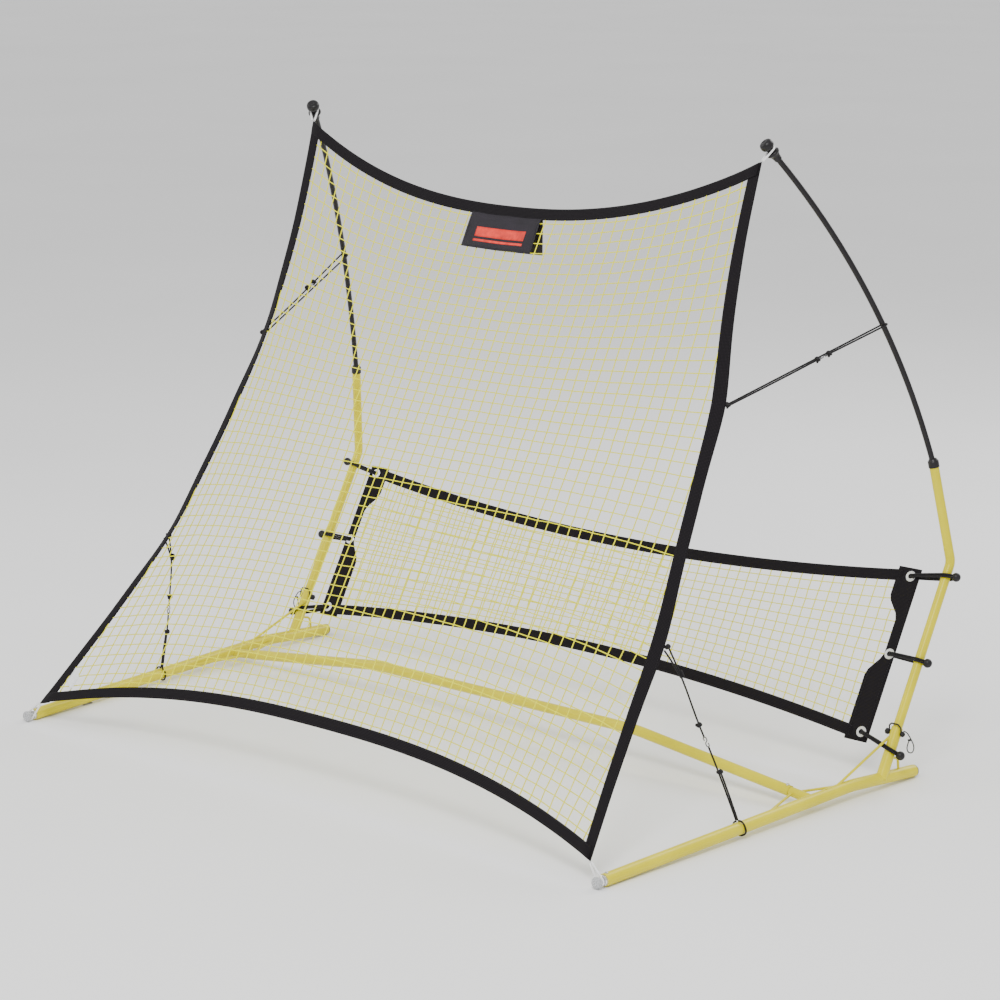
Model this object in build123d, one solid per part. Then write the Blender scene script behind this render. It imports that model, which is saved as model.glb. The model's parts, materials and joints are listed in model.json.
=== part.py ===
from build123d import *
import math
import os

os.makedirs("parts", exist_ok=True)

# A pitch back rebounder: a bowed net slung between two ground rails and two sprung rods.
# Millimetres. +X is the right-hand side, +Y the rear, +Z up; the floor is Z = 0 and the
# origin is the middle of the footprint. The right-hand half is modelled and mirrored.

# ---- Tubes ----
TUBE_WALL = 1.5
RAIL_TUBE = 28.0
CROSSBAR_TUBE = 25.0
STUB_TUBE = 22.0
UPRIGHT_TUBE = 22.0
SOCKET_TUBE = 26.0
BRACE_WIRE = 6.0
ROD_DIAMETER = 13.0
TUBE_BEND = 400.0  # radius of the gentle bends in rails and crossbar
CREASE_BEND = 32.0  # radius of the upright's tight bend

# ---- Frame lines, on the right-hand side ----
RAIL_FRONT = (900.0, -580.0, 14.0)
RAIL_BEND = (935.5, 232.0, 31.0)
RAIL_REAR = (944.5, 463.0, 14.0)
CROSSBAR_FOOT = (930.0, 111.0, 22.0)
CROSSBAR_KNEE = (413.0, 111.0, 84.0)
UPRIGHT_FOOT = (943.0, 338.0, 23.0)
UPRIGHT_KNEE = (942.0, 593.0, 479.0)
UPRIGHT_HEAD = (913.0, 557.5, 701.0)
ROD_TIP = (710.0, 218.0, 1411.0)
ROD_BULGE = (17.7, 34.8, 21.7)  # how far the bowed rod stands off its chord, half way up
FOOTPRINT_SHIFT = 2.4  # along Y, from the drawing lines to the middle of the footprint

# ---- Joins in the frame ----
CROSSBAR_END = 859.0  # X where the crossbar tube stops on its stub
STUB_END = 795.0  # X where the stub stops inside the crossbar
UPRIGHT_GAP = 22.0  # from the rail's axis to the upright's end in its socket
SOCKET_LENGTH = 122.0
ROD_GRIP = 28.0  # how far the rod goes down inside the upright
FERRULE_DIAMETER = 25.0
FERRULE_LENGTH = 26.0
FERRULE_OVERLAP = 18.0
FIT_GAP = 0.2  # between tubes that plug together
RUN_GAP = 0.075  # radial clearance of a pin in its hole
SKIN_GAP = 0.3  # between pieces that only lie against each other

# ---- Rail fittings ----
VENTS = (144.0, 352.0)  # Y of the vent holes in the rail's top
VENT_DIAMETER = 5.0
COLLAR_GRIP = 20.0
RIVET_BACK = 8.0  # from the rail's front end to the rivet
RIVET_SHANK = 4.0
RIVET_HEAD = 8.0
CLIP_HEIGHT = 3.0

# ---- Snap buttons and lock pins ----
BUTTON_X = 850.0
BUTTON_DIAMETER = 8.0
BUTTON_PROUD = 3.0
BUTTON_FLANGE = 11.0
PIN_UP = 110.0  # lock pin's height along the upright, from the rail's axis
PIN_DIAMETER = 6.0
PIN_TIP = 24.0
PIN_HEAD_DIAMETER = 14.0
PIN_HEAD_NEAR = 17.2
PIN_HEAD_FAR = 28.0
STRAP_CORD = 3.5

# ---- Soft goods ----
NET_THICKNESS = 2.0
WEBBING_WIDTH = 28.0
WEBBING_THICKNESS = 3.0
NET_TUCK = 12.0  # how far the netting runs into its webbing
TOP_CORNER = (690.0, 189.0, 1404.0)
UPPER_KINK = (720.7, 37.6, 892.0)
LOWER_KINK = (780.5, -235.0, 425.3)
BOTTOM_CORNER = (868.7, -585.0, 48.4)
TOP_SAG = (0.0, -44.7, -149.0)
TOP_SAG_POWER = 2.28
BOTTOM_LIFT = (0.0, 83.7, 93.0)
BOTTOM_LIFT_POWER = 2.45
SIDE_HOLLOWS = (14.0, 5.0, 5.0)  # inward sag of the side edge in its three spans
TERMS = 15  # of the series that carries the sides' kinks into the netting
ROWS_PER_SPAN = 5
COLUMNS = 12

LOWER_TOP = (0.0, 577.5, 452.0)
LOWER_DOWN = (0.0, -0.488, -0.873)
LOWER_LENGTH = 419.0
LOWER_HALF_WIDTH = 876.0
LOWER_SAG = 59.0
LOWER_WEBBING = 27.0
BAND_WIDTH = 62.0
BAND_WAIST = 29.0
BAND_WAIST_AT = 175.0
GROMMETS = ((852.0, 19.7), (862.0, 207.3), (854.5, 396.8))  # X, and distance down the net
BALLS = ((969.0, 2.0), (966.6, 210.0), (973.0, 430.0))
GROMMET_DIAMETER = 26.0
GROMMET_HOLE = 12.4
BALL_DIAMETER = 21.0
BUNGEE_CORD = 5.0
TIE_CORD = 4.0
WHITE_CORD = 4.5
LANYARD_CORD = 2.6
KNOB_NECK = 14.0
KNOB_NECK_UP = 24.0  # from the rod's tip to the middle of the knob's neck
TIE_SPREAD = 6.0  # from an upper tie's middle to each strand, at the webbing
TAG_SIDE = 36.0
LABEL_WIDTH = 214.0
LABEL_DROP = 112.0
LABEL_GAP = 1.2
FRONT_NECK = 12.6
HOOK_WIRE = 2.4
HOOK_REACH = 12.6  # from a hook's middle to where the elastic starts
UPPER_TIE_SHARE = 0.435  # of the rod's length above the upright
UPPER_HOOK_SHARE = 0.6
LOWER_TIE_Y = -150.0


# ---- Helpers ----
def save(name, *solids):
    placed = [Pos(0, FOOTPRINT_SHIFT, 0) * solid for solid in solids]
    shape = placed[0] if len(placed) == 1 else Compound(children=placed)
    export_step(shape, f"parts/{name}.step")


def mirrored(solids):
    return [mirror(solid, about=Plane.YZ) for solid in solids]


def save_pair(name, *solids):
    save(f"{name}_right", *solids)
    save(f"{name}_left", *mirrored(solids))


def save_both(name, *solids):
    save(name, *solids, *mirrored(solids))


def pipe(path, diameter, wall=None):
    section = Circle(diameter / 2)
    if wall:
        section -= Circle(diameter / 2 - wall)
    return sweep(Plane(origin=path @ 0, z_dir=path % 0) * section, path=path).solids()[0]


def bar(start, end, diameter):
    axis = Vector(*end) - Vector(*start)
    along = (Align.CENTER, Align.CENTER, Align.MIN)
    return Plane(origin=start, z_dir=axis) * Cylinder(diameter / 2, axis.length, align=along)


def trimmed(solid, *cutters):
    for cutter in cutters:
        solid -= cutter
    return max(solid.solids(), key=lambda piece: piece.volume)


def between(a, b, share):
    return Vector(*a) + (Vector(*b) - Vector(*a)) * share


def turned(profile, origin, axis):
    """A solid of revolution from (radius, distance along the axis) points."""
    outline = make_face(Polyline(*[(r, 0, s) for r, s in profile], close=True))
    return Plane(origin=origin, z_dir=axis) * revolve(outline, axis=Axis.Z)


def ball(centre, diameter):
    return Pos(*centre) * Sphere(diameter / 2)


def route(points, diameter, arcs=None):
    """A cord's tube: straight runs joined by arcs as large as the runs allow."""
    points = [Vector(*p) for p in points]
    radii = []
    for before, here, after in zip(points, points[1:], points[2:]):
        run = min((here - before).length, (after - here).length)
        turn = math.radians((here - before).get_angle(after - here))
        radii.append(0.45 * run / math.tan(turn / 2))
    for index, radius in (arcs or {}).items():
        radii[index] = radius
    if not radii:
        return bar(points[0], points[1], diameter)
    return pipe(FilletPolyline(*points, radius=radii), diameter)


def sheet(grid, thickness):
    """A thin closed solid through a grid of points, of even thickness across the grid."""
    rows = len(grid)
    columns = len(grid[0])

    def normal(i, j):
        down = grid[min(i + 1, rows - 1)][j] - grid[max(i - 1, 0)][j]
        across = grid[i][min(j + 1, columns - 1)] - grid[i][max(j - 1, 0)]
        return across.cross(down).normalized() * (thickness / 2)

    front = [[grid[i][j] + normal(i, j) for j in range(columns)] for i in range(rows)]
    back = [[grid[i][j] - normal(i, j) for j in range(columns)] for i in range(rows)]
    rim = [(0, j) for j in range(columns - 1)]
    rim += [(i, columns - 1) for i in range(rows - 1)]
    rim += [(rows - 1, j) for j in range(columns - 1, 0, -1)]
    rim += [(i, 0) for i in range(rows - 1, 0, -1)]
    triangles = []
    for i in range(rows - 1):
        for j in range(columns - 1):
            for side in (front, back):
                a, b = side[i][j], side[i][j + 1]
                c, d = side[i + 1][j + 1], side[i + 1][j]
                triangles += [(a, b, c), (a, c, d)]
    for here, there in zip(rim, rim[1:] + rim[:1]):
        a, b = front[here[0]][here[1]], front[there[0]][there[1]]
        c, d = back[there[0]][there[1]], back[here[0]][here[1]]
        triangles += [(a, b, c), (a, c, d)]
    faces = [Face(Wire.make_polygon(list(corners))) for corners in triangles]
    return Solid(Shell(faces))


# ---- Rails ----
def rail_path():
    return FilletPolyline(RAIL_FRONT, RAIL_BEND, RAIL_REAR, radius=TUBE_BEND)


def rail_fullness():
    return pipe(rail_path(), RAIL_TUBE)


def rail_height(y):
    front, rear = Vector(*RAIL_FRONT), Vector(*RAIL_BEND)
    if y > rear.Y:
        front, rear = rear, Vector(*RAIL_REAR)
    return between(front, rear, (y - front.Y) / (rear.Y - front.Y))


def rivet_hole():
    foot = rail_height(RAIL_FRONT[1] + RIVET_BACK)
    return Pos(foot.X, foot.Y, foot.Z + RAIL_TUBE / 2) * Cylinder(RIVET_SHANK / 2, 12)


def build_rails():
    rail = pipe(rail_path(), RAIL_TUBE, TUBE_WALL)
    for y in VENTS:
        at = rail_height(y)
        rail -= Pos(at.X, at.Y, at.Z + RAIL_TUBE / 2) * Cylinder(VENT_DIAMETER / 2, RAIL_TUBE / 2)
    rail -= rivet_hole()
    save_pair("rail", rail.solids()[0])

    bore = RAIL_TUBE / 2 - TUBE_WALL - FIT_GAP / 2
    lip = RAIL_TUBE / 2 - 0.5
    cap_profile = ((0, -16), (bore, -16), (bore, 0), (lip, 0), (lip, 3), (lip - 2, 5), (0, 5))
    rail_end = Vector(*RAIL_REAR) - Vector(*RAIL_BEND)
    save_both("rail_rear_caps", turned(cap_profile, RAIL_REAR, rail_end))

    hole = 4.0
    collar_profile = (
        (hole, -COLLAR_GRIP),
        (bore, -COLLAR_GRIP),
        (bore, 0),
        (12, 0),
        (12, 2.5),
        (9.5, 4.5),
        (hole, 4.5),
    )
    front_end = Vector(*RAIL_FRONT) - Vector(*RAIL_BEND)
    collar = turned(collar_profile, RAIL_FRONT, front_end) - rivet_hole()
    save_both("front_collars", collar.solids()[0])

    knob_profile = (
        (0, -COLLAR_GRIP + 4),
        (hole - FIT_GAP / 2, -COLLAR_GRIP + 4),
        (hole - FIT_GAP / 2, 4.5 + FIT_GAP),
        (6.5, 4.5 + FIT_GAP),
        (5.5, 10),
        (7, 15),
        (10, 17),
        (11, 19),
        (11, 24),
        (9.5, 26.5),
        (4, 27.2),
        (3.5, 26.2),
        (0, 26.2),
    )
    save_both("front_knobs", turned(knob_profile, RAIL_FRONT, front_end).solids()[0])

    foot = rail_height(RAIL_FRONT[1] + RIVET_BACK)
    top = RAIL_TUBE / 2
    shank = RIVET_SHANK / 2 - FIT_GAP / 2
    rivet_profile = (
        (0, top - 5),
        (shank, top - 5),
        (shank, top + 0.1),
        (RIVET_HEAD / 2, top + 0.1),
        (RIVET_HEAD / 2 - 0.5, top + 1.3),
        (RIVET_HEAD / 4, top + 2.1),
        (0, top + 2.3),
    )
    save_both("rail_rivets", turned(rivet_profile, foot, (0, 0, 1)).solids()[0])

    clip = Box(9, 26, CLIP_HEIGHT) - Pos(0, 0, 1) * Box(5, 27, CLIP_HEIGHT)
    at = rail_height(-404.0)
    save("rail_clip", Pos(-at.X, at.Y, at.Z - RAIL_TUBE / 2 - SKIN_GAP - CLIP_HEIGHT / 2) * clip)


# ---- Crossbar, its stubs and snap buttons ----
def crossbar_line():
    """Start and direction of the crossbar's slanted right-hand end."""
    foot, knee = Vector(*CROSSBAR_FOOT), Vector(*CROSSBAR_KNEE)
    return foot, (knee - foot).normalized()


def crossbar_point(x):
    share = (CROSSBAR_FOOT[0] - x) / (CROSSBAR_FOOT[0] - CROSSBAR_KNEE[0])
    return between(CROSSBAR_FOOT, CROSSBAR_KNEE, share)


def build_crossbar():
    foot, inward = crossbar_line()
    button_up = Vector(0, 1, 0).cross(inward).normalized()
    button_at = crossbar_point(BUTTON_X)
    button_hole = Plane(origin=button_at, z_dir=button_up) * Cylinder(
        BUTTON_DIAMETER / 2 + RUN_GAP, CROSSBAR_TUBE, align=(Align.CENTER, Align.CENTER, Align.MIN)
    )

    end, knee = crossbar_point(CROSSBAR_END), Vector(*CROSSBAR_KNEE)
    path = FilletPolyline(
        end, knee, Vector(-knee.X, knee.Y, knee.Z), Vector(-end.X, end.Y, end.Z), radius=TUBE_BEND
    )
    wall = (CROSSBAR_TUBE - STUB_TUBE) / 2 - FIT_GAP
    crossbar = pipe(path, CROSSBAR_TUBE, wall)
    for hole in (button_hole, mirror(button_hole, about=Plane.YZ)):
        crossbar -= hole
    save("crossbar", crossbar.solids()[0])

    stub_start = crossbar_point(STUB_END)
    stub = bar(stub_start, foot, STUB_TUBE) - bar(stub_start, foot, STUB_TUBE - 2 * TUBE_WALL)
    stub = trimmed(stub, rail_fullness(), button_hole)
    save_both("crossbar_stubs", stub)

    crown = CROSSBAR_TUBE / 2 + BUTTON_PROUD
    half = BUTTON_DIAMETER / 2
    button_profile = (
        (0, 6),
        (BUTTON_FLANGE / 2, 6),
        (BUTTON_FLANGE / 2, 7.4),
        (half, 7.4),
        (half, crown - 1.5),
        (half - 1.5, crown),
        (0, crown),
    )
    save_pair("crossbar_button", turned(button_profile, button_at, button_up).solids()[0])

    leaf = Polyline((-22, 1.4), (12, 1.4), (26, -2.5), (12, -6.4), (-10, -6.4))
    strip = trace(leaf, line_width=1)
    flat = Plane(origin=button_at, x_dir=inward * -1, z_dir=button_up.cross(inward))
    save_both("button_springs", extrude(flat * strip, 3, both=True).solids()[0])

    solid_stub = bar(stub_start, foot, STUB_TUBE)
    braces = []
    for rail_y, weld_x in ((-85.0, 866.0), (278.0, 868.0)):
        brace = bar(rail_height(rail_y), crossbar_point(weld_x), BRACE_WIRE)
        braces.append(trimmed(brace, rail_fullness(), solid_stub))
    save_both("crossbar_braces", *braces)


# ---- Uprights, their sockets and braces ----
def upright_axis():
    foot = Vector(*UPRIGHT_FOOT)
    return foot, (Vector(*UPRIGHT_KNEE) - foot).normalized()


def upright_frame(height):
    """A plane across the lower upright: x to the right, y to the rear, z up the tube."""
    foot, up = upright_axis()
    return Plane(origin=foot + up * height, x_dir=(1, 0, 0), z_dir=up)


def upright_path(start):
    return FilletPolyline(start, UPRIGHT_KNEE, UPRIGHT_HEAD, radius=CREASE_BEND)


def pin_hole():
    along_x = Plane(origin=upright_frame(PIN_UP).origin, z_dir=(1, 0, 0))
    return along_x * Cylinder(PIN_DIAMETER / 2 + RUN_GAP, 3 * SOCKET_TUBE)


def build_uprights():
    foot, up = upright_axis()
    upright = pipe(upright_path(foot + up * UPRIGHT_GAP), UPRIGHT_TUBE, TUBE_WALL)
    save_pair("upright", (upright - pin_hole()).solids()[0])

    top = foot + up * SOCKET_LENGTH
    bore = bar(foot, top, UPRIGHT_TUBE + 2 * FIT_GAP)
    socket = bar(foot, top, SOCKET_TUBE) - bore
    save_both("upright_sockets", trimmed(socket, rail_fullness(), pin_hole()))

    socket_body = bar(foot, top, SOCKET_TUBE)
    front = bar(rail_height(151.0), (933, 386, 112), BRACE_WIRE)
    hoop_points = ((943, 350, 70), (943, 402, 58), (943, 407, 16))
    hoop = pipe(FilletPolyline(*hoop_points, radius=14), BRACE_WIRE)
    braces = [trimmed(brace, rail_fullness(), socket_body) for brace in (front, hoop)]
    save_both("upright_braces", *braces)


# ---- Sprung rods and their ferrules and knobs ----
def rod_arc():
    """The bowed rod above the upright: one arc from the upright's head to the rod's tip."""
    head, tip = Vector(*UPRIGHT_HEAD), Vector(*ROD_TIP)
    return ThreePointArc(head, (head + tip) * 0.5 + Vector(*ROD_BULGE), tip)


def build_rods():
    arc = rod_arc()
    grip_end = (arc @ 0) - (arc % 0) * ROD_GRIP
    path = Wire([Line(grip_end, arc @ 0).edge(), arc.edge()])
    rod = pipe(path, ROD_DIAMETER)
    save_pair("rod", rod)

    bore = ROD_DIAMETER / 2 + FIT_GAP
    sleeve = UPRIGHT_TUBE / 2 - TUBE_WALL - FIT_GAP
    ferrule_profile = (
        (bore, -FERRULE_OVERLAP),
        (sleeve, -FERRULE_OVERLAP),
        (sleeve, 0),
        (FERRULE_DIAMETER / 2, 0),
        (FERRULE_DIAMETER / 2, FERRULE_LENGTH - 12),
        (FERRULE_DIAMETER / 2 - 4, FERRULE_LENGTH - 6),
        (bore, FERRULE_LENGTH - 6),
    )
    head_way = Vector(*UPRIGHT_HEAD) - Vector(*UPRIGHT_KNEE)
    ferrule = turned(ferrule_profile, UPRIGHT_HEAD, head_way)
    save_both("rod_ferrules", trimmed(ferrule, pipe(path, ROD_DIAMETER)))

    seat = ROD_DIAMETER / 2 + FIT_GAP
    knob_profile = (
        (0, 0.2),
        (seat, 0.2),
        (seat, -6),
        (8.5, -6),
        (9.2, 4),
        (11.5, 11),
        (15, 15),
        (15.2, 18),
        (11, 20),
        (KNOB_NECK / 2, 21.2),
        (KNOB_NECK / 2, 27),
        (9.5, 29.5),
        (13.5, 32),
        (15.3, 37),
        (14.6, 43),
        (11.5, 47.5),
        (5, 49),
        (4, 47.8),
        (0, 47.3),
    )
    save_pair("tip_knob", turned(knob_profile, arc @ 1, arc % 1).solids()[0])


# ---- Lock pins ----
def build_lock_pins():
    """A pin through each socket, with a rubber head, held by a strap round the upright."""
    frame = upright_frame(PIN_UP)
    out = Plane(origin=frame.origin, z_dir=(1, 0, 0))
    pin_profile = (
        (0, -PIN_HEAD_FAR),
        (PIN_HEAD_DIAMETER / 4, -PIN_HEAD_FAR),
        (PIN_HEAD_DIAMETER / 2, -PIN_HEAD_FAR + 3),
        (PIN_HEAD_DIAMETER / 2, -PIN_HEAD_NEAR - 3),
        (PIN_DIAMETER / 2 + 2, -PIN_HEAD_NEAR),
        (PIN_DIAMETER / 2, -PIN_HEAD_NEAR),
        (PIN_DIAMETER / 2, PIN_TIP - 1.5),
        (PIN_DIAMETER / 2 - 1.5, PIN_TIP),
        (0, PIN_TIP),
    )
    save_pair("lock_pin", turned(pin_profile, out.origin, out.z_dir).solids()[0])

    hole = PIN_DIAMETER / 2 + RUN_GAP
    near = SOCKET_TUBE / 2 + SKIN_GAP
    inner_eye = ((hole, -near - 2.6), (5.5, -near - 2.6), (5.5, -near), (hole, -near))
    outer_eye = (
        (hole, near),
        (4.5, near),
        (6.5, near + 3),
        (6.5, near + 6),
        (4.5, near + 9),
        (hole, near + 9),
    )
    band_points = [
        frame.from_local_coords(p)
        for p in (
            (-14.2, -4, 0), (-15.5, -11, 12), (-9, -15.5, 17),
            (9, -15.5, 17), (16, -11, 11), (18, -5, 0),
        )
    ]
    strap = pipe(FilletPolyline(*band_points, radius=4), STRAP_CORD)
    for eye in (inner_eye, outer_eye):
        strap += turned(eye, out.origin, out.z_dir)
    save_pair("lock_pin_strap", trimmed(strap, pin_hole()))


# ---- The main net ----
def side_line(share):
    """The net's right-hand edge, from top corner to bottom corner, with its two kinks."""
    corners = [Vector(*p) for p in (TOP_CORNER, UPPER_KINK, LOWER_KINK, BOTTOM_CORNER)]
    stops = kink_shares()
    span = max(k for k in range(3) if share >= stops[k] - 1e-9)
    part = (share - stops[span]) / (stops[span + 1] - stops[span])
    point = between(corners[span], corners[span + 1], part)
    return point - Vector(SIDE_HOLLOWS[span] * math.sin(math.pi * part), 0, 0)


def kink_shares():
    corners = [Vector(*p) for p in (TOP_CORNER, UPPER_KINK, LOWER_KINK, BOTTOM_CORNER)]
    lengths = [(b - a).length for a, b in zip(corners, corners[1:])]
    total = sum(lengths)
    return [0.0, lengths[0] / total, (lengths[0] + lengths[1]) / total, 1.0]


def side_terms():
    """Sine series, in Y and Z, of how far the kinked side edge stands off its chord."""
    steps = 120
    terms = []
    for n in range(1, TERMS + 1):
        total = Vector(0, 0, 0)
        for k in range(steps):
            share = (k + 0.5) / steps
            stand = side_line(share) - between(TOP_CORNER, BOTTOM_CORNER, share)
            total += stand * math.sin(n * math.pi * share)
        terms.append(total * (2 / steps))
    return terms


SIDE_TERMS = side_terms()


def net_point(across, down):
    """The net's middle surface: across from -1 to 1 edge to edge, down from 0 to 1."""
    top_sag = 1 - abs(across) ** TOP_SAG_POWER
    bottom_lift = 1 - abs(across) ** BOTTOM_LIFT_POWER
    point = between(
        Vector(*TOP_CORNER) + Vector(*TOP_SAG) * top_sag,
        Vector(*BOTTOM_CORNER) + Vector(*BOTTOM_LIFT) * bottom_lift,
        down,
    )
    for n, term in enumerate(SIDE_TERMS, start=1):
        fade = math.cosh(n * math.pi * across) / math.cosh(n * math.pi)
        point += term * (math.sin(n * math.pi * down) * fade)
    return Vector(across * side_line(down).X, point.Y, point.Z)


def net_length(across):
    return (net_point(across, 1) - net_point(across, 0)).length


def inset(down, distance):
    """The share of the half-width that is left inside a strip of the side edge."""
    return 1 - distance / side_line(down).X


def spread(start, end, count):
    return [start + (end - start) * k / count for k in range(count + 1)]


def down_stops(start, end):
    """Shares down the net, with rows at both kinks."""
    _, upper, lower, _ = kink_shares()
    return (
        spread(start, upper, ROWS_PER_SPAN)
        + spread(upper, lower, ROWS_PER_SPAN)[1:]
        + spread(lower, end, ROWS_PER_SPAN)[1:]
    )


def build_main_net():
    tuck = WEBBING_WIDTH - NET_TUCK
    share = tuck / net_length(1)
    rows = []
    for down in down_stops(share, 1 - share):
        edge = inset(down, tuck)
        rows.append([net_point(across, down) for across in spread(-edge, edge, COLUMNS)])
    save("main_net", sheet(rows, NET_THICKNESS))

    side = []
    for down in down_stops(0.0, 1.0):
        inner = inset(down, WEBBING_WIDTH)
        side.append([net_point(inner, down), net_point(1.0, down)])
    save_pair("net_webbing", sheet(side, WEBBING_THICKNESS))

    reach = inset(0.0, WEBBING_WIDTH + SKIN_GAP)
    top = []
    bottom = []
    for across in spread(-reach, reach, COLUMNS + 4):
        share = WEBBING_WIDTH / net_length(across)
        top.append([net_point(across, 0), net_point(across, share)])
        bottom.append([net_point(across, 1 - share), net_point(across, 1)])
    save("net_webbing_top", sheet(top, WEBBING_THICKNESS))
    save("net_webbing_bottom", sheet(bottom, WEBBING_THICKNESS))


def net_facing(across, down):
    """A plane on the net: x to the right, z out of its front face."""
    here = net_point(across, down)
    step = 0.01
    low = net_point(across, min(down + step, 1))
    high = net_point(across, max(down - step, 0))
    right = net_point(across + step, down) - net_point(across - step, down)
    return Plane(origin=here, x_dir=right, z_dir=right.cross(high - low))


def build_label_and_tag():
    facing = net_facing(0.0, 0.0)
    gap = WEBBING_THICKNESS / 2 + LABEL_GAP
    skin = 1.0
    across_label = Plane(origin=facing.origin, x_dir=facing.z_dir, z_dir=facing.x_dir * -1)
    behind = across_label.from_local_coords((-gap, 3, 0))
    hem = across_label.to_local_coords(behind - Vector(0, 0, LABEL_DROP))  # it hangs plumb
    fold = Polyline((gap, -LABEL_DROP), (gap, 3), (-gap, 3), (hem.X, hem.Y))
    leaf = trace(fold, line_width=skin)
    label = extrude(across_label * leaf, LABEL_WIDTH / 2, both=True)
    save("label_patch", label.solids()[0])

    corner = net_facing(-0.93, 0.965)
    tag = Pos(0, 0, WEBBING_THICKNESS / 2 + 2) * Rot(0, 0, 45) * Box(TAG_SIDE, TAG_SIDE, 0.8)
    save("corner_tag", corner * tag)


# ---- The lower net ----
def lower_frame():
    down = Vector(*LOWER_DOWN)
    return Plane(origin=LOWER_TOP, x_dir=(1, 0, 0), z_dir=Vector(1, 0, 0).cross(down * -1))


def lower_outline(top, bottom, half, sag):
    """A flat panel whose top edge sags and whose bottom edge rises by the same amount."""
    upper = ThreePointArc((-half, -top), (0, -top - sag), (half, -top))
    lower = ThreePointArc((half, -bottom), (0, -bottom + sag), (-half, -bottom))
    right = Line((half, -top), (half, -bottom))
    left = Line((-half, -bottom), (-half, -top))
    return make_face([upper, right, lower, left])


def flat_panel(face, thickness):
    return extrude(lower_frame() * face, thickness / 2, both=True).solids()[0]


def build_lower_net():
    length, half = LOWER_LENGTH, LOWER_HALF_WIDTH
    tuck = LOWER_WEBBING - NET_TUCK
    inner_half = half - BAND_WAIST + NET_TUCK
    netting = lower_outline(tuck, length - tuck, inner_half, LOWER_SAG)
    for x, down in GROMMETS:
        for sign in (1, -1):
            netting -= Pos(sign * x, -down) * Circle(GROMMET_DIAMETER / 2 + SKIN_GAP)
    save("lower_net", flat_panel(netting, NET_THICKNESS))

    whole = lower_outline(0, length, half, LOWER_SAG)
    middle = lower_outline(LOWER_WEBBING, length - LOWER_WEBBING, half + 1, LOWER_SAG)
    bands = []
    for sign in (1, -1):
        edge = Polyline(
            (sign * half, 0),
            (sign * (half - BAND_WIDTH), 0),
            (sign * (half - BAND_WIDTH), 30 - BAND_WAIST_AT),
            (sign * (half - BAND_WAIST), -BAND_WAIST_AT),
            (sign * (half - BAND_WAIST - 2), -BAND_WAIST_AT - 60),
            (sign * (half - BAND_WIDTH), -BAND_WAIST_AT - 115),
            (sign * (half - BAND_WIDTH), -length),
            (sign * half, -length),
            close=True,
        )
        bands.append(make_face(edge) & whole)
    strips = whole - middle
    for sign in (1, -1):
        strips -= Pos(sign * half, -length / 2) * Rectangle(2 * (BAND_WIDTH + SKIN_GAP), 2 * length)
    top, bottom = sorted(strips.faces(), key=lambda face: -face.center().Y)
    save("lower_webbing_top", flat_panel(top, WEBBING_THICKNESS))
    save("lower_webbing_bottom", flat_panel(bottom, WEBBING_THICKNESS))

    frame = lower_frame()
    barrel = GROMMET_HOLE / 2 + 1
    for name, band, sign in (("right", bands[0], 1), ("left", bands[1], -1)):
        solid = flat_panel(band, WEBBING_THICKNESS)
        for x, down in GROMMETS:
            hole = frame * Pos(sign * x, -down) * Cylinder(barrel + FIT_GAP, 20)
            solid -= hole
        save(f"lower_band_{name}", solid.solids()[0])

    flange = WEBBING_THICKNESS / 2
    ring = (
        (GROMMET_HOLE / 2, -flange - 1),
        (GROMMET_DIAMETER / 2 - 1, -flange - 0.8),
        (GROMMET_DIAMETER / 2, -flange),
        (barrel, -flange),
        (barrel, flange),
        (GROMMET_DIAMETER / 2, flange),
        (GROMMET_DIAMETER / 2 - 1, flange + 0.8),
        (GROMMET_HOLE / 2, flange + 1),
    )
    grommets = []
    for x, down in GROMMETS:
        place = frame * Pos(x, -down)
        grommets.append(turned(ring, place.position, frame.z_dir).solids()[0])
    save_both("grommets", *grommets)


def bungee_strands(grommet, knob, post_radius):
    """Two strands from a ball, round the front of the upright, through a grommet and back."""
    frame = lower_frame()
    post_x = UPRIGHT_FOOT[0]
    (hole_x, hole_down), (ball_x, ball_down) = grommet, knob
    front = post_radius + BUNGEE_CORD / 2 + 1.5
    turn_in = 8.0
    line = (
        (ball_x - 4, 4),
        (post_x + 9, front),
        (post_x - 12, front),
        (hole_x, turn_in),
        (hole_x, -turn_in),
        (post_x - 12, -front),
        (post_x + 9, -front),
        (ball_x - 4, -4),
    )
    strands = []
    for lift in (-BUNGEE_CORD / 2 - 0.1, BUNGEE_CORD / 2 + 0.1):
        points = []
        for x, out in line:
            down = hole_down + (ball_down - hole_down) * (x - hole_x) / (ball_x - hole_x)
            points.append(frame.from_local_coords((x, -down - lift, out)))
        strands.append(pipe(FilletPolyline(*points, radius=[8, 8, 6, 6, 8, 8]), BUNGEE_CORD))
    return strands


def build_bungees():
    frame = lower_frame()
    posts = (UPRIGHT_TUBE / 2, UPRIGHT_TUBE / 2, SOCKET_TUBE / 2)
    strands = []
    balls = []
    for grommet, knob, post_radius in zip(GROMMETS, BALLS, posts):
        sphere = ball(frame.from_local_coords((knob[0], -knob[1], 0)), BALL_DIAMETER)
        cords = bungee_strands(grommet, knob, post_radius)
        strands += [trimmed(cord, sphere) for cord in cords]
        balls.append(sphere)
    save_pair("bungee_cords", *strands)
    save_both("bungee_balls", *balls)


# ---- Cords that tie the main net to the frame ----
def round_bar(centre, toward, across, radius, before):
    """Route points of a cord that comes along 'toward', goes round a bar and comes back."""
    return [
        centre + across * radius - toward * before,
        centre + across * radius + toward * radius,
        centre - across * radius + toward * radius,
        centre - across * radius - toward * before,
    ]


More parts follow.
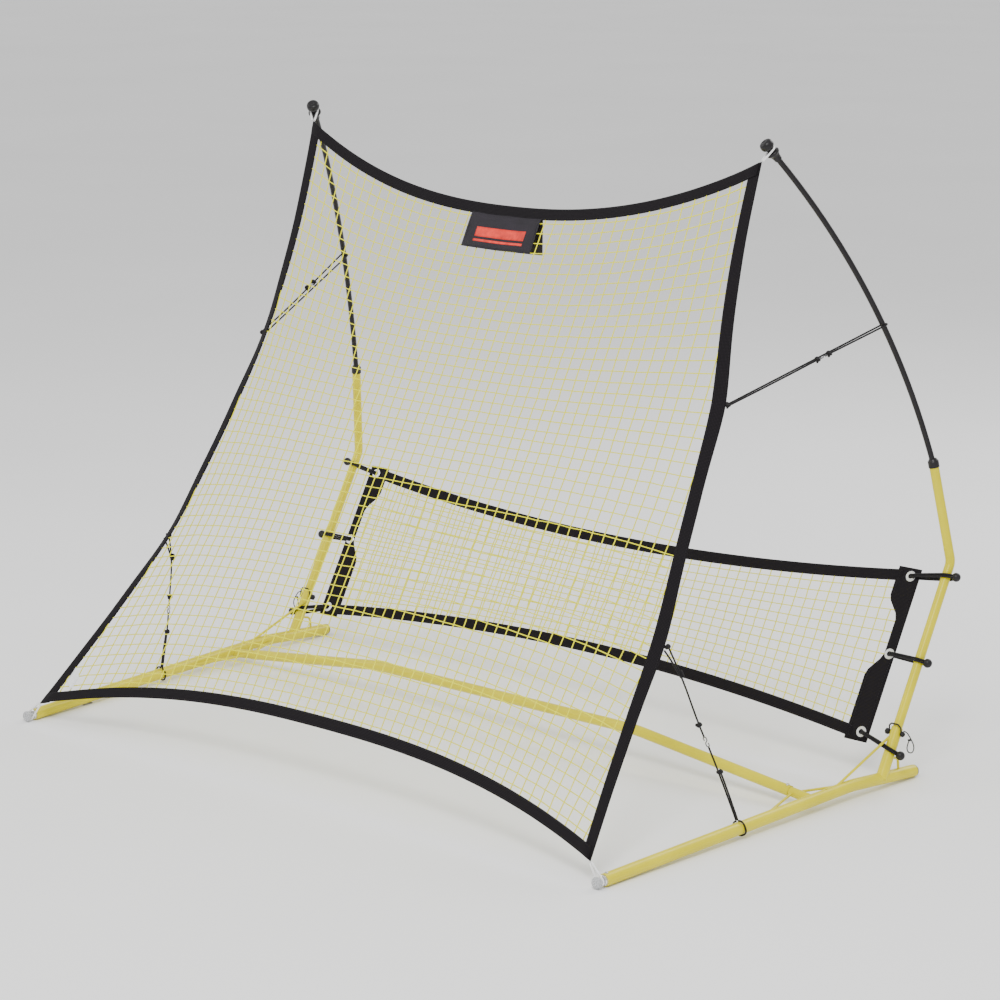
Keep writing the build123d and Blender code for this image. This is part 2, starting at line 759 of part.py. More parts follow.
def hook_at(centre, toward, across):
    """A double wire hook, 25 long, that joins two lengths of elastic."""
    plane = Plane(origin=centre, x_dir=toward, z_dir=toward.cross(across))
    line = ((-3, 4), (-11, 4), (-11, -4), (-3, -4), (3, 4), (11, 4), (11, -4), (3, -4))
    points = [plane.from_local_coords((a, b, 0)) for a, b in line]
    return pipe(FilletPolyline(*points, radius=2.6), HOOK_WIRE)


def build_upper_ties():
    rod_axis = rod_arc()
    rod_at = rod_axis @ UPPER_TIE_SHARE
    kink = Vector(*UPPER_KINK) + Vector(2.4, 0, 0)
    toward = (rod_at - kink).normalized()
    across = (rod_axis % UPPER_TIE_SHARE).cross(toward).normalized()
    span = (rod_at - kink).length
    radius = ROD_DIAMETER / 2 + TIE_CORD / 2 + SKIN_GAP
    hook_centre = kink + toward * (UPPER_HOOK_SHARE * span) - across * 5

    turn = round_bar(rod_at, toward, across, radius, 14)
    loop = [kink + across * TIE_SPREAD, *turn, hook_centre + toward * HOOK_REACH]
    arcs = {1: radius - 0.05, 2: radius - 0.05}
    save_pair("upper_tie_loop", route(loop, TIE_CORD, arcs))
    back = [
        hook_centre - toward * HOOK_REACH,
        between(hook_centre, kink, 0.55) - Vector(0, 0, 2.5),
        kink - across * TIE_SPREAD,
    ]
    save_pair("upper_tie_back", route(back, TIE_CORD))
    return hook_at(hook_centre, toward, across)


def build_lower_ties():
    kink = Vector(*LOWER_KINK) + Vector(2.4, 0, -4)
    whipping, knot = Vector(800, -209, 355), Vector(835, -190, 245)
    split, rail_at = Vector(875, -166, 143), rail_height(LOWER_TIE_Y)
    hook_centre = between(knot, split, 0.36)
    hook_way = (split - knot).normalized()
    toward = (rail_at - split).normalized()
    rail_way = (Vector(*RAIL_BEND) - Vector(*RAIL_FRONT)).normalized()
    across = rail_way.cross(toward).normalized()
    radius = RAIL_TUBE / 2 + TIE_CORD / 2 + SKIN_GAP

    net_end = [kink, whipping, knot, hook_centre - hook_way * HOOK_REACH]
    save_pair("lower_tie_net", route(net_end, TIE_CORD))
    second = side_line(kink_shares()[2] + 0.012) + Vector(2.4, 0, 0)
    strand = [second, between(second, whipping, 0.5) + Vector(0, 3, -3), whipping - Vector(0, 6.4, 0)]
    save_pair("lower_tie_strand", route(strand, TIE_CORD))
    apart = across * (TIE_CORD / 2 + 0.4)
    top = rail_at - toward * (radius + TIE_CORD / 2 + 0.1)
    strands = (
        [hook_centre + hook_way * HOOK_REACH, split + apart, top + apart],
        [split - apart + toward * 3, between(split, top, 0.5) - apart * 1.5, top - apart],
    )
    ring = Plane(origin=rail_at, z_dir=rail_way) * Torus(radius, TIE_CORD / 2)
    save_pair("lower_tie_rail", *[route(strand, TIE_CORD) for strand in strands], ring.solid())
    return hook_at(hook_centre, hook_way, across)


def corner_loop(neck, corner, axis, neck_radius):
    """A white cord looped round a knob's neck, both ends at a corner of the net."""
    toward = (corner - neck).normalized()
    across = axis.cross(toward).normalized()
    radius = neck_radius + WHITE_CORD / 2 + SKIN_GAP
    end = corner - toward * (WHITE_CORD / 2)
    turn = round_bar(neck, toward * -1, across, radius, 2)
    return [end + across * 3, *turn, end - across * 3], radius


def build_corner_cords():
    axis = rod_arc() % 1
    neck = rod_arc() @ 1 + axis * KNOB_NECK_UP
    points, radius = corner_loop(neck, Vector(*TOP_CORNER), axis, KNOB_NECK / 2)
    arcs = {0: 12, 1: radius - 0.05, 2: radius - 0.05, 3: 12}
    save_pair("corner_cord_top", route(points, WHITE_CORD, arcs))

    axis = (Vector(*RAIL_FRONT) - Vector(*RAIL_BEND)).normalized()
    neck = Vector(*RAIL_FRONT) + axis * 10.5
    points, radius = corner_loop(neck, Vector(*BOTTOM_CORNER), axis, FRONT_NECK / 2)
    arcs = {0: 12, 1: radius - 0.05, 2: radius - 0.05, 3: 12}
    save_pair("corner_cord_bottom", route(points, WHITE_CORD, arcs))


def build_ties():
    hooks = (build_upper_ties(), build_lower_ties())
    save_both("tie_hooks", *hooks)
    build_corner_cords()
    lanyard = (
        (964, 391.7, 126.9),
        (972, 391.7, 127),
        (982, 392, 115),
        (994, 392, 97),
        (990, 391, 81),
        (977, 391, 80),
        (973, 391.5, 93),
        (979.5, 392, 109),
    )
    save_pair("lanyard", route(lanyard, LANYARD_CORD))


if __name__ == "__main__":
    build_rails()
    build_crossbar()
    build_uprights()
    build_rods()
    build_lock_pins()
    build_main_net()
    build_label_and_tag()
    build_lower_net()
    build_bungees()
    build_ties()
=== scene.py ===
import json
import math
import random

import bmesh
import bpy
from mathutils import Matrix, Vector


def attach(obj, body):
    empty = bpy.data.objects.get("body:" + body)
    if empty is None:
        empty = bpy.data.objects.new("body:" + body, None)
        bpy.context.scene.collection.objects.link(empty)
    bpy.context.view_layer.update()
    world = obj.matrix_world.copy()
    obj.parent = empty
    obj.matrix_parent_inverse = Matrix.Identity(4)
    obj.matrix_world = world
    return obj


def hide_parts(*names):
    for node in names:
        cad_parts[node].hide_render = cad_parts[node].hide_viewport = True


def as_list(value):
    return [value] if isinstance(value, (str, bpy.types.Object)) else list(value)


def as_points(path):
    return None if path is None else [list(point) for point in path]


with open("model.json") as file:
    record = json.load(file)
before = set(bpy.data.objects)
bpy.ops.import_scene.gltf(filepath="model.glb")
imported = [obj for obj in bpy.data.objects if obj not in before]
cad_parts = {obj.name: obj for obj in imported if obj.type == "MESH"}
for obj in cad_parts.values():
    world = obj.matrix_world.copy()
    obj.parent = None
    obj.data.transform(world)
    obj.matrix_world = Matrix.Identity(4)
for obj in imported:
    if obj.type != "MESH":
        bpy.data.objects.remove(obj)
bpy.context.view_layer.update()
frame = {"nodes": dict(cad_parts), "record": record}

NODES = frame["nodes"]
BODY = "frame"
SIDES = (("right", 1), ("left", -1))

# ---- The net's shape, in metres: the same corners and series as the CAD sheet ----
AHEAD = 0.0024  # added to a drawing's Y to give the shared frame's Y
TOP_CORNER = Vector((0.690, 0.189 + AHEAD, 1.404))
UPPER_KINK = Vector((0.7207, 0.0376 + AHEAD, 0.892))
LOWER_KINK = Vector((0.7805, -0.235 + AHEAD, 0.4253))
BOTTOM_CORNER = Vector((0.8687, -0.585 + AHEAD, 0.0484))
SIDE_CORNERS = (TOP_CORNER, UPPER_KINK, LOWER_KINK, BOTTOM_CORNER)
SIDE_HOLLOWS = (0.014, 0.005, 0.005)
TOP_SAG, TOP_POWER = Vector((0, -0.0447, -0.149)), 2.28
BOTTOM_LIFT, BOTTOM_POWER = Vector((0, 0.0837, 0.093)), 2.45
TERMS = 15
MESH_PITCH = 0.0295
NET_ROWS = 53
TWINE = 0.0026
KNOT_WAY = Vector((0.6, -0.5, 0.6)).normalized()
TUCK = 0.7  # share of the webbing's width that the twine's ends reach under
WEBBING = 0.028
WEBBING_THICK = 0.0034
SEAM_LIFT = WEBBING_THICK * 0.56 * 0.98  # from the webbing's middle to its threads

# ---- The lower net: a flat panel along the uprights' lower axes ----
LOWER_TOP = Vector((0, 0.5775 + AHEAD, 0.452))
LOWER_DOWN = Vector((0, -0.488, -0.873)).normalized()
LOWER_OUT = Vector((0, -0.873, 0.488)).normalized()
LOWER_LENGTH = 0.419
LOWER_HALF = 0.876
LOWER_SAG = 0.059
LOWER_ROWS = 14
LOWER_WEBBING = 0.027
BAND_WIDTH = 0.062
BAND_WAIST = 0.028
BAND_THICK = 0.0032

# ---- Cords, and the bars that they go round ----
TIE_CORD = 0.004
TIE_KNOT = 0.0026
WHITE_CORD = 0.0045
LANYARD_CORD = 0.0026
BUNGEE_CORD = 0.005
BUNGEES = (  # grommet's X and distance down the net, ball's X and distance down, post's radius
    (0.8520, 0.0197, 0.9690, 0.002, 0.011),
    (0.8620, 0.2073, 0.9666, 0.210, 0.011),
    (0.8545, 0.3968, 0.9730, 0.430, 0.013),
)
POST_X = 0.943
ROD_RADIUS = 0.0065
RAIL_RADIUS = 0.014
TOP_NECK = 0.007
FRONT_NECK = 0.0063
GAP = 0.0003  # between a cord and the bar that it goes round
HOOK_REACH = 0.0126
OFF_EDGE = Vector((0.0024, 0, 0))  # from the net's edge line out to a tie
TAUT = {"far_end": "object", "stiffness": "medium", "lay": "taut"}
TAUT_LIMP = {**TAUT, "stiffness": "limp"}

# ---- Label and tag ----
LABEL = 0.214
LABEL_DROP = 0.112
LABEL_TUCK = 0.020  # how far below the webbing's top edge the flaps go in
LABEL_CLOTH = 0.0007
STRIPE_WIDTH = 0.152
STRIPES = (("wide", 0.060, 0.024), ("thin", 0.090, 0.006))  # name, distance down, depth
TAG_SIDE = 0.038

# ---- Studio ----
FLOOR_REACH = 90
FLOOR_DROP = 0.0005
WORLD_STRENGTH = 0.95
LIGHTS = (  # name, place, watts, size
    ("key", (2.6, -3.4, 4.6), 230, 2.0),
    ("fill", (-3.6, -2.4, 3.4), 60, 3.0),
    ("rim", (0.6, 4.2, 3.6), 110, 2.6),
)
AIM = Vector((0, 0, 0.6))
CAMERA_PLACE = (4.771, -5.216 + AHEAD, 2.140)
CAMERA_TURN = (77.57, 0, 41.87)  # degrees
CAMERA_LENS = 111.94

random.seed(11)


# ---- Mesh helpers ----
def add_mesh(name, verts, faces, material, uvs=None, smooth=True):
    """A mesh object; uvs holds one (u, v) for each vertex."""
    mesh = bpy.data.meshes.new(name)
    mesh.from_pydata([tuple(v) for v in verts], [], faces)
    mesh.update()
    if uvs:
        layer = mesh.uv_layers.new(name="UVMap")
        for loop in mesh.loops:
            layer.data[loop.index].uv = uvs[loop.vertex_index]
    if smooth:
        mesh.polygons.foreach_set("use_smooth", [True] * len(mesh.polygons))
    mesh.materials.append(material)
    obj = bpy.data.objects.new(name, mesh)
    bpy.context.scene.collection.objects.link(obj)
    return obj


class Builder:
    """Collects many small shapes into one mesh."""

    def __init__(self):
        self.verts, self.faces, self.uvs = [], [], []

    def add(self, verts, faces, uvs):
        base = len(self.verts)
        self.verts += verts
        self.faces += [tuple(base + i for i in face) for face in faces]
        self.uvs += uvs

    def object(self, name, material, smooth=True):
        return add_mesh(name, self.verts, self.faces, material, self.uvs, smooth)


def frames_along(points):
    """A tangent and two normals at each point, turning as little as they can."""
    befores, afters = [points[0], *points[:-1]], [*points[1:], points[-1]]
    tangents = [(after - before).normalized() for before, after in zip(befores, afters)]
    side = tangents[0].orthogonal().normalized()
    result = []
    for tangent in tangents:
        side = (side - tangent * side.dot(tangent)).normalized()
        result.append((tangent, side, tangent.cross(side)))
    return result


def tube_shape(points, radius, sides=8):
    """Vertices, faces and uvs of a round tube."""
    verts, uvs, faces = [], [], []
    run = 0.0
    ring = sides + 1
    for i, (point, (_, side, up)) in enumerate(zip(points, frames_along(points))):
        run += (point - points[i - 1]).length if i else 0.0
        for k in range(ring):
            angle = 2 * math.pi * k / sides
            verts.append(point + (side * math.cos(angle) + up * math.sin(angle)) * radius)
            uvs.append((k / sides, run))
    for i in range(len(points) - 1):
        for k in range(sides):
            a = i * ring + k
            faces.append((a, a + 1, a + 1 + ring, a + ring))
    return verts, faces, uvs


def weld(obj, distance=1e-5):
    """Joins the seam of a tube or lathe, so that its surface is closed."""
    mesh = bmesh.new()
    mesh.from_mesh(obj.data)
    bmesh.ops.remove_doubles(mesh, verts=mesh.verts, dist=distance)
    bmesh.ops.holes_fill(mesh, edges=[e for e in mesh.edges if e.is_boundary], sides=64)
    bmesh.ops.recalc_face_normals(mesh, faces=mesh.faces)
    mesh.to_mesh(obj.data)
    mesh.free()
    obj.data.update()
    return obj


def nurbs_line(points, resolution=10):
    """Points along the smooth NURBS line whose control points are these."""
    curve = bpy.data.curves.new("route", "CURVE")
    curve.dimensions = "3D"
    curve.resolution_u = resolution
    spline = curve.splines.new("NURBS")
    spline.points.add(len(points) - 1)
    for target, point in zip(spline.points, points):
        target.co = (*point, 1)
    spline.order_u = 3
    spline.use_endpoint_u = True
    holder = bpy.data.objects.new("route", curve)
    mesh = bpy.data.meshes.new_from_object(holder)
    line = [v.co.copy() for v in mesh.vertices]
    bpy.data.objects.remove(holder)
    bpy.data.meshes.remove(mesh)
    bpy.data.curves.remove(curve)
    return line


def length_of(points):
    """The length of a line of points."""
    return sum((b - a).length for a, b in zip(points, points[1:]))


def lathe(name, profile, origin, axis, material, sides=48):
    """A turned piece from (radius, distance along the axis) points."""
    axis = axis.normalized()
    side = axis.orthogonal().normalized()
    up = axis.cross(side)
    verts, uvs, faces = [], [], []
    ring = sides + 1
    for row, (radius, along) in enumerate(profile):
        for k in range(ring):
            angle = 2 * math.pi * k / sides
            out = side * math.cos(angle) + up * math.sin(angle)
            verts.append(origin + axis * along + out * max(radius, 1e-6))
            uvs.append((k / sides, along))
        if row:
            for k in range(sides):
                a = (row - 1) * ring + k
                faces.append((a, a + 1, a + 1 + ring, a + ring))
    return weld(add_mesh(name, verts, faces, material, uvs), 2e-6)


def rounded(profile, steps=4):
    """The smooth line through a given profile, as a chain of soft corners."""
    points = [Vector((r, s, 0)) for r, s in profile]
    return [(p.x, p.y) for p in nurbs_line(points, steps)]


def mirror_x(point, sign):
    """The point itself on the right, where sign is 1, or its mirror image on the left."""
    return Vector((point[0] * sign, point[1], point[2]))


def ease(share):
    """A smooth step from 0 to 1."""
    share = min(max(share, 0.0), 1.0)
    return share * share * (3 - 2 * share)


# ---- Materials ----
class Shader:
    """A short way to write a node material round one Principled shader."""

    def __init__(self, name, roughness=0.5, **sockets):
        self.material = bpy.data.materials.new(name)
        self.material.use_nodes = True
        self.tree = self.material.node_tree
        self.principled = self.tree.nodes["Principled BSDF"]
        self.principled.inputs["Roughness"].default_value = roughness
        for socket, value in sockets.items():
            self.principled.inputs[socket.replace("_", " ")].default_value = value

    def node(self, kind, inputs=None, **settings):
        node = self.tree.nodes.new(kind)
        for key, value in settings.items():
            setattr(node, key, value)
        for key, value in (inputs or {}).items():
            if isinstance(value, bpy.types.NodeSocket):
                self.tree.links.new(value, node.inputs[key])
            else:
                node.inputs[key].default_value = value
        return node

    def place(self, scale=(1, 1, 1)):
        where = self.node("ShaderNodeTexCoord").outputs["Object"]
        mapping = self.node("ShaderNodeMapping", {"Vector": where, "Scale": scale})
        return mapping.outputs["Vector"]

    def noise(self, vector, scale, detail=3.0):
        made = self.node("ShaderNodeTexNoise", {"Vector": vector, "Scale": scale, "Detail": detail})
        return made.outputs["Fac"]

    def math(self, operation, a, b):
        return self.node("ShaderNodeMath", {0: a, 1: b}, operation=operation).outputs[0]

    def ramp(self, value, stops):
        made = self.node("ShaderNodeValToRGB", {"Fac": value})
        ramp = made.color_ramp
        while len(ramp.elements) < len(stops):
            ramp.elements.new(0.5)
        for element, (position, color) in zip(ramp.elements, stops):
            element.position = position
            element.color = (*color, 1)
        return made.outputs["Color"]

    def color(self, output):
        self.tree.links.new(output, self.principled.inputs["Base Color"])

    def rough(self, value, low, high):
        made = self.node(
            "ShaderNodeMapRange", {"Value": value, "To Min": low, "To Max": high}
        )
        self.tree.links.new(made.outputs["Result"], self.principled.inputs["Roughness"])

    def bump(self, height, distance, strength=0.6):
        made = self.node(
            "ShaderNodeBump", {"Height": height, "Distance": distance, "Strength": strength}
        )
        self.tree.links.new(made.outputs["Normal"], self.principled.inputs["Normal"])


def shade(color, factor):
    """A lighter or darker tone of a colour."""
    return tuple(min(1.0, c * factor) for c in color)


def paint(name, color):
    """Glossy powder coat: faint orange peel, soft tone changes and a few scuffs."""
    s = Shader(name, 0.3, Coat_Weight=0.1, Coat_Roughness=0.12, Specular_IOR_Level=0.25)
    where = s.place()
    cloud = s.noise(where, 9, 4)
    scuff = s.noise(where, 140, 6)
    s.color(s.ramp(cloud, [(0.3, shade(color, 0.9)), (0.55, color), (0.8, shade(color, 1.1))]))
    s.rough(scuff, 0.22, 0.42)
    s.bump(s.noise(where, 900, 2), 0.0002, 0.25)
    return s.material


def moulded(name, color, roughness=0.5):
    """Moulded plastic or rubber with a fine grain and faint flow marks."""
    s = Shader(name, roughness, Specular_IOR_Level=0.3)
    where = s.place()
    s.color(s.ramp(s.noise(where, 60, 5), [(0.3, shade(color, 0.7)), (0.75, shade(color, 1.4))]))
    s.rough(s.noise(where, 240, 4), roughness - 0.1, roughness + 0.15)
    s.bump(s.noise(where, 700, 3), 0.0003, 0.4)
    return s.material


def metal(name, color, roughness):
    """Plated steel with fine drawn lines."""
    s = Shader(name, roughness, Metallic=1.0)
    lines = s.noise(s.place((300, 300, 20)), 3, 5)
    s.color(s.ramp(lines, [(0.3, shade(color, 0.8)), (0.7, shade(color, 1.1))]))
    s.rough(lines, roughness * 0.7, roughness * 1.5)
    s.bump(lines, 0.0001, 0.2)
    return s.material


def webbing(name, color, pitch=0.0016):
    """Flat woven tape: ribs across and fine warp ends along, coloured by the weave's height with
    painted shade in its dips and a painted highlight on its crests, plus random fluff flecks.
    """
    s = Shader(name, 0.75, Sheen_Weight=0.02, Sheen_Roughness=0.4, Specular_IOR_Level=0.12)
    uv = s.node("ShaderNodeTexCoord").outputs["UV"]
    turn = 1 / pitch
    rib = s.node("ShaderNodeMapping", {"Vector": uv, "Scale": (turn, turn, 1)}).outputs["Vector"]
    across, along = (
        s.node("ShaderNodeTexWave", {"Vector": rib, "Scale": 0.159, "Distortion": 0.6},
               bands_direction=way, wave_profile="SIN").outputs["Fac"]
        for way in "XY"
    )
    weave = s.math("MULTIPLY", across, along)
    fleck = s.noise(s.place(), 420, 5)
    height = s.math("ADD", weave, s.math("MULTIPLY", fleck, 0.5))
    # painted shade in the weave's dips and a painted highlight on its crests, with random fluff flecks
    # on top
    s.color(s.ramp(height, [(0.1, shade(color, 0.45)), (0.6, color), (1.0, shade(color, 2.2))]))
    s.rough(fleck, 0.62, 0.9)
    s.bump(height, 0.0006, 0.7)
    return s.material


def twisted(name, color, turns, lay=3, roughness=0.55):
    """Laid or braided cord: slanting strands round the tube, from its own uv."""
    s = Shader(name, roughness, Sheen_Weight=0.03, Specular_IOR_Level=0.2)
    uv = s.node("ShaderNodeTexCoord").outputs["UV"]
    split = s.node("ShaderNodeSeparateXYZ", {"Vector": uv})
    around = s.math("MULTIPLY", split.outputs["X"], 2 * math.pi * lay)
    slant = s.math("MULTIPLY", split.outputs["Y"], 2 * math.pi * turns)
    one = s.math("SINE", s.math("ADD", around, slant), 0.0)
    other = s.math("SINE", s.math("SUBTRACT", around, slant), 0.0)
    strands = s.math("MAXIMUM", one, other) if lay > 3 else one
    fluff = s.noise(s.place(), 500, 4)
    height = s.math("ADD", s.math("MULTIPLY", strands, 0.5), fluff)
    # colour follows the strands' height: painted shade between the strands and a painted highlight on
    # their crowns, plus random fluff
    s.color(s.ramp(height, [(0.05, shade(color, 0.55)), (0.55, color), (0.95, shade(color, 1.35))]))
    s.rough(fluff, roughness - 0.1, roughness + 0.2)
    s.bump(height, 0.0004, 0.6)
    return s.material


def cloudy(name, color, weight):
    """Milky translucent plastic."""
    s = Shader(name, 0.25, Transmission_Weight=weight, IOR=1.46)
    where = s.place()
    s.color(s.ramp(s.noise(where, 90, 3), [(0.3, shade(color, 0.85)), (0.8, color)]))
    s.rough(s.noise(where, 300, 3), 0.15, 0.4)
    s.bump(s.noise(where, 500, 2), 0.0002, 0.3)
    return s.material


def coated_cloth(name, color):
    """Smooth coated cloth with a fine plain weave under the coating."""
    s = Shader(name, 0.5, Specular_IOR_Level=0.2, Sheen_Weight=0.03)
    where = s.place()
    fine = s.node("ShaderNodeTexBrick", {"Vector": where, "Scale": 700.0}).outputs["Fac"]
    wear = s.noise(where, 45, 5)
    s.color(s.ramp(wear, [(0.3, shade(color, 0.75)), (0.75, shade(color, 1.35))]))
    s.rough(wear, 0.4, 0.62)
    s.bump(s.math("ADD", fine, wear), 0.0003, 0.35)
    return s.material


LOOKS = {  # slot, then the function that makes its material, with a colour and its settings
    "yellow_paint": (paint, (0.68, 0.59, 0.0)),
    "black_rod": (paint, (0.008, 0.0065, 0.008)),
    "black_plastic": (moulded, (0.009, 0.008, 0.009), 0.35),
    "black_webbing": (webbing, (0.0085, 0.007, 0.0085)),
    "yellow_netting": (twisted, (0.92, 0.86, 0.02), 160),
    "black_elastic": (twisted, (0.008, 0.007, 0.008), 260, 8),
    "lanyard_cord": (moulded, (0.012, 0.012, 0.013)),
    "white_cord": (twisted, (0.84, 0.84, 0.82), 180, 8),
    "black_rubber": (moulded, (0.010, 0.009, 0.010)),
    "bright_steel": (metal, (0.62, 0.62, 0.62), 0.3),
    "hook_steel": (metal, (0.16, 0.16, 0.165), 0.35),
    "chrome": (metal, (0.78, 0.77, 0.78), 0.1),
    "clear_plastic": (cloudy, (0.62, 0.63, 0.64), 0.3),
    "label_cloth": (coated_cloth, (0.015, 0.012, 0.017)),
    "tag_film": (cloudy, (0.95, 0.95, 0.95), 0.02),
    "grey_plastic": (moulded, (0.2, 0.2, 0.2)),
    "label_print": (moulded, (0.72, 0.035, 0.02)),
    "stitching": (twisted, (0.022, 0.020, 0.022), 400),
}
MATERIALS = {name: make(name, *settings) for name, (make, *settings) in LOOKS.items()}


def finish_piece(obj, slot, *nodes):
    """Rides a new piece on its body and hides the CAD nodes that it stands for; the slot is not used.
    """
    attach(obj, BODY)
    if nodes:
        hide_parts(*nodes)
    return obj


def paint_cad_nodes():
    """Every CAD node gets its slot's finished material."""
    for part in frame["record"]["subparts"]:
        data = NODES[part["node"]].data
        data.materials.clear()
        data.materials.append(MATERIALS[part["material_slot"]])
    NODES["tie_hooks"].data.materials[0] = MATERIALS["hook_steel"]


# ---- The net's surface ----
def kink_shares():
    """How far down the side edge its corners and kinks lie, from 0 to 1."""
    lengths = [(b - a).length for a, b in zip(SIDE_CORNERS, SIDE_CORNERS[1:])]
    total = sum(lengths)
    return (0.0, lengths[0] / total, (lengths[0] + lengths[1]) / total, 1.0)


KINKS = kink_shares()


def side_line(share):
    """The net's right-hand edge, from top corner to bottom corner, with its two kinks."""
    span = max(k for k in range(3) if share >= KINKS[k] - 1e-9)
    part = (share - KINKS[span]) / (KINKS[span + 1] - KINKS[span])
    point = SIDE_CORNERS[span].lerp(SIDE_CORNERS[span + 1], part)
    return point - Vector((SIDE_HOLLOWS[span] * math.sin(math.pi * part), 0, 0))


def side_terms(steps=120):
    """Sine series of how far the kinked side edge stands off its chord."""
    terms = []
    for n in range(1, TERMS + 1):
        total = Vector()
        for k in range(steps):
            share = (k + 0.5) / steps
            stand = side_line(share) - TOP_CORNER.lerp(BOTTOM_CORNER, share)
            total += stand * math.sin(n * math.pi * share)
        terms.append(total * (2 / steps))
    return terms


SIDE_TERMS = side_terms()


def net_point(across, down):
    """The net's middle surface: across from -1 to 1 edge to edge, down from 0 to 1."""
    top = TOP_CORNER + TOP_SAG * (1 - abs(across) ** TOP_POWER)
    bottom = BOTTOM_CORNER + BOTTOM_LIFT * (1 - abs(across) ** BOTTOM_POWER)
    point = top.lerp(bottom, down)
    for n, term in enumerate(SIDE_TERMS, start=1):
        fade = math.cosh(n * math.pi * across) / math.cosh(n * math.pi)
        point += term * (math.sin(n * math.pi * down) * fade)
    point.x = across * side_line(down).x
    return point


def net_out(across, down, step=0.01):
    """The net's front normal."""
    right = net_point(across + step, down) - net_point(across - step, down)
    low = net_point(across, min(down + step, 1.0))
    high = net_point(across, max(down - step, 0.0))
    return right.cross(high - low).normalized()


def net_length(across):
    """The net's length from its top edge to its bottom edge."""
    return (net_point(across, 1) - net_point(across, 0)).length


# ---- Netting ----
def knot_shape(center, size, stretch):
    """A small knot in the twine: a squashed six-sided bead."""
    side = stretch.orthogonal().normalized()
    up = stretch.cross(side).normalized()
    verts = [center + stretch * size * 0.8, center - stretch * size * 0.8]
    around = 6
    for k in range(around):
        angle = 2 * math.pi * k / around
        verts.append(center + (side * math.cos(angle) + up * math.sin(angle)) * size * 0.62)
    faces = []
    for k in range(around):
        a, b = 2 + k, 2 + (k + 1) % around
        faces += [(0, a, b), (1, b, a)]
    return verts, faces, [(0.5, 0.0)] * len(verts)


def build_netting(name, lines, crossings, node):
    """Twine tubes along every mesh line, and a knot at every crossing."""
    made = Builder()
    for line in lines:
        made.add(*tube_shape(line, TWINE / 2, 6))
    for center in crossings:
        made.add(*knot_shape(center, TWINE * 1.05, KNOT_WAY))
    obj = weld(made.object(name, MATERIALS["yellow_netting"]), 2e-6)
    return finish_piece(obj, "yellow_netting", node)


def main_netting():
    """Rows follow the top and bottom edges; columns keep an even pitch across."""
    tuck = WEBBING * TUCK
    shares = [(i + 0.5) / NET_ROWS for i in range(NET_ROWS)]
    shares = [s for s in shares if 0.012 < s < 0.988]
    half_columns = int((BOTTOM_CORNER.x - 2 * tuck) / MESH_PITCH)
    columns = range(-half_columns, half_columns + 1)
    grid = {}
    for i, share in enumerate(shares):
        half_width = side_line(share).x
        for k in columns:
            x = k * MESH_PITCH
            if abs(x) < half_width - tuck:
                wobble = Vector((random.uniform(-1, 1), 0, random.uniform(-1, 1))) * 0.0009
                loose = abs(x) < half_width - WEBBING - 0.004
                grid[i, k] = net_point(x / half_width, share) + wobble * loose
    lines = []
    crossings = []
    for i, share in enumerate(shares):
        edge = 1 - tuck / side_line(share).x
        row = [grid[i, k] for k in columns if (i, k) in grid]
        lines.append([net_point(-edge, share), *row, net_point(edge, share)])
    for k in columns:
        inside = [i for i in range(len(shares)) if (i, k) in grid]
        column = [grid[i, k] for i in inside]
        x = k * MESH_PITCH
        if inside[0] == 0:
            start = tuck / net_length(min(abs(x) / side_line(0).x, 1))
            column.insert(0, net_point(x / side_line(start).x, start))
        else:
            column.insert(0, side_entry(x, shares[inside[0]], shares[0], tuck))
        end = 1 - tuck / net_length(min(abs(x) / side_line(1).x, 1))
        column.append(net_point(x / side_line(end).x, end))
        lines.append(column)
        crossings += [grid[i, k] for i in inside if abs(x) <= side_line(shares[i]).x - WEBBING]
    return build_netting("main_netting", lines, crossings, "main_net")


def side_entry(x, below, above, tuck):
    """Where a column that starts part way down comes out of the side webbing."""
    low, high = above, below
    for _ in range(24):
        middle = (low + high) / 2
        if abs(x) < side_line(middle).x - tuck:
            high = middle
        else:
            low = middle
    return net_point(x / side_line(high).x, high)


def lower_point(x, down, out=0.0):
    """A point of the lower net: x across, down its slope from the top corners."""
    return LOWER_TOP + Vector((x, 0, 0)) + LOWER_DOWN * down + LOWER_OUT * out


def lower_edges(x):
    """How far down the slope the curved top and bottom edges lie at x."""
    sag = LOWER_SAG * (1 - (x / LOWER_HALF) ** 2)
    return sag, LOWER_LENGTH - sag


def band_inner(down):
    """X of the end band's inner edge, pulled in where the middle grommet is."""
    waist = ease((down - 0.070) / 0.055) - ease((down - 0.205) / 0.06)
    return LOWER_HALF - BAND_WIDTH + (BAND_WIDTH - BAND_WAIST) * waist


def lower_netting():
    """Rows follow the curved edges down the slope; columns are straight, inside the bands."""
    half_columns = int(LOWER_HALF / MESH_PITCH) - 1
    tuck = LOWER_WEBBING * TUCK
    lines = []
    crossings = []
    columns = {}
    for k in range(-half_columns, half_columns + 1):
        x = k * MESH_PITCH
        top, bottom = lower_edges(x)
        depth = bottom - top - 2 * tuck
        stops = [top + tuck + depth * i / LOWER_ROWS for i in range(LOWER_ROWS + 1)]
        slacks = [0.001 * (0 < i < LOWER_ROWS) for i in range(LOWER_ROWS + 1)]
        columns[k] = [
            lower_point(x + random.uniform(-1, 1) * slack, stop, random.uniform(-1, 1) * slack)
            for stop, slack in zip(stops, slacks)
        ]
        seen = [p for p, stop in zip(columns[k], stops) if abs(x) < band_inner(stop) + 0.008]
        if len(seen) > 1:
            lines.append(seen)
    for i in range(1, LOWER_ROWS):
        down = (columns[half_columns][i] - LOWER_TOP).dot(LOWER_DOWN)
        edge = band_inner(down) + 0.007
        row = [columns[k][i] for k in sorted(columns) if abs(k) * MESH_PITCH < edge - 0.006]
        lines.append([lower_point(-edge, down), *row, lower_point(edge, down)])
        crossings += row
    return build_netting("lower_netting", lines, crossings, "lower_net")


